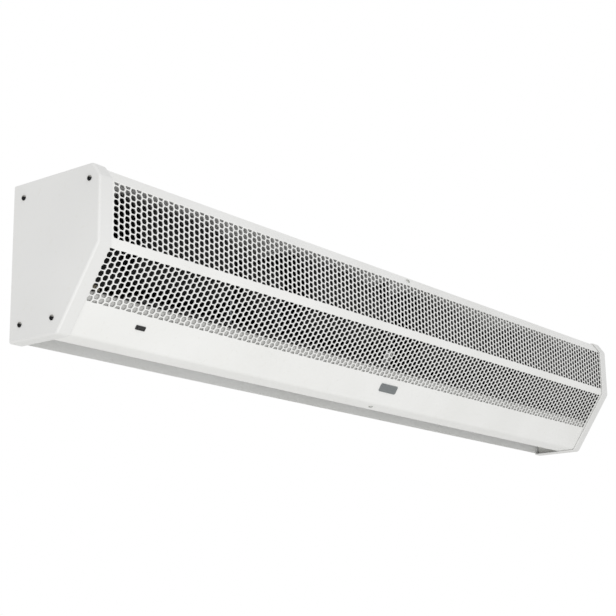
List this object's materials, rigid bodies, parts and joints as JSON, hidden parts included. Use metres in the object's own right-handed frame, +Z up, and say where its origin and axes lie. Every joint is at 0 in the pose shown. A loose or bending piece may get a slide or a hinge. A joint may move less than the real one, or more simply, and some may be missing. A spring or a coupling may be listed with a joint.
{
  "type": "air curtain",
  "caption": "Wall-mounted air curtain in a white sheet-steel case, with a staggered intake grille over the front, double-inlet blowers inside and a vaned outlet slot underneath.",
  "frame": {"origin": "centre of the four wall fixing holes, on the back face of the case", "axes": "+X along the doorway, to the right as seen from the room; +Y out of the back, into the wall; +Z up"},
  "size_m": [1.5284, 0.171, 0.229],
  "materials": {
    "white_powder_coat": "satin white powder coat",
    "galvanised_steel": "galvanised sheet",
    "black_enamel": "matt black enamel",
    "plain_steel": "zinc plated",
    "black_oxide_steel": "black oxide",
    "aluminium": "satin",
    "enamelled_copper": "varnished wire",
    "bronze": "sintered",
    "black_rubber": "matt",
    "black_nylon": "moulded",
    "white_nylon": "moulded",
    "cream_plastic": "moulded",
    "grey_anodised": "anodised grey"
  },
  "bodies": {
    "casing": {"left_end_plate": "white_powder_coat", "right_end_plate": "white_powder_coat", "left_bulkhead": "black_enamel", "right_bulkhead": "black_enamel", "back_panel": "white_powder_coat", "top_panel": "white_powder_coat", "front_panel": "white_powder_coat", "blower_deck": "white_powder_coat", "nozzle_front_wall": "white_powder_coat", "centre_support": "white_powder_coat", "blower_housing_1": "black_enamel", "blower_housing_2": "black_enamel", "blower_housing_3": "black_enamel", "blower_housing_4": "black_enamel", "left_motor_case": "black_enamel", "right_motor_case": "black_enamel", "left_motor_stator": "plain_steel", "right_motor_stator": "plain_steel", "motor_windings": "enamelled_copper", "motor_bushes": "bronze", "left_motor_cradle": "galvanised_steel", "right_motor_cradle": "galvanised_steel", "motor_rubber_rings": "black_rubber", "left_vane_bearing": "white_nylon", "right_vane_bearing": "white_nylon", "electrical_box": "black_enamel", "electrical_box_cover": "black_enamel", "terminal_block": "cream_plastic", "capacitors": "aluminium", "cable_grommet": "black_rubber", "lead_grommets": "black_rubber", "left_motor_lead": "black_rubber", "right_motor_lead": "black_rubber", "switch_lead": "black_rubber", "switch_body": "black_nylon", "rating_plate": "grey_anodised", "hanging_nuts": "plain_steel", "end_plate_screws": "black_oxide_steel", "front_panel_screws": "plain_steel", "housing_screws": "plain_steel", "cradle_screws": "plain_steel"},
    "left_rotor": {"left_shaft": "plain_steel", "left_rotor_core": "plain_steel", "blower_wheel_1": "black_enamel", "blower_wheel_2": "black_enamel"},
    "right_rotor": {"right_shaft": "plain_steel", "right_rotor_core": "plain_steel", "blower_wheel_3": "black_enamel", "blower_wheel_4": "black_enamel"},
    "front_vane": {"front_vane": "aluminium", "front_vane_pins": "plain_steel"},
    "rear_vane": {"rear_vane": "aluminium", "rear_vane_pins": "plain_steel"},
    "vane_link": {"vane_link_bar": "plain_steel"},
    "rocker": {"switch_rocker": "black_nylon"}
  },
  "joints": [
    {"name": "left_rotor_spin", "type": "hinge", "parent": "casing", "child": "left_rotor", "pos_m": [-0.364, -0.086, 0], "axis": [-1, 0, 0], "continuous": true},
    {"name": "right_rotor_spin", "type": "hinge", "parent": "casing", "child": "right_rotor", "pos_m": [0.364, -0.086, 0], "axis": [-1, 0, 0], "continuous": true},
    {"name": "front_vane_tilt", "type": "hinge", "parent": "casing", "child": "front_vane", "pos_m": [0, -0.0386, -0.109], "axis": [1, 0, 0], "range_deg": [-20, 20]},
    {"name": "rear_vane_tilt", "type": "hinge", "parent": "casing", "child": "rear_vane", "pos_m": [0, -0.0166, -0.109], "axis": [1, 0, 0], "range_deg": [-20, 20]},
    {"name": "link_pivot", "type": "hinge", "parent": "front_vane", "child": "vane_link", "pos_m": [-0.7439, -0.0386, -0.119], "axis": [1, 0, 0], "range_deg": [-20, 20]},
    {"name": "rocker_tilt", "type": "hinge", "parent": "casing", "child": "rocker", "pos_m": [-0.619, -0.1079, -0.11292], "axis": [0, 0.5564, -0.8309], "range_deg": [-9, 9]}
  ],
  "couplings": [
    {"joint": "rear_vane_tilt", "follows": "front_vane_tilt", "ratio": 1},
    {"joint": "link_pivot", "follows": "front_vane_tilt", "ratio": -1}
  ]
}
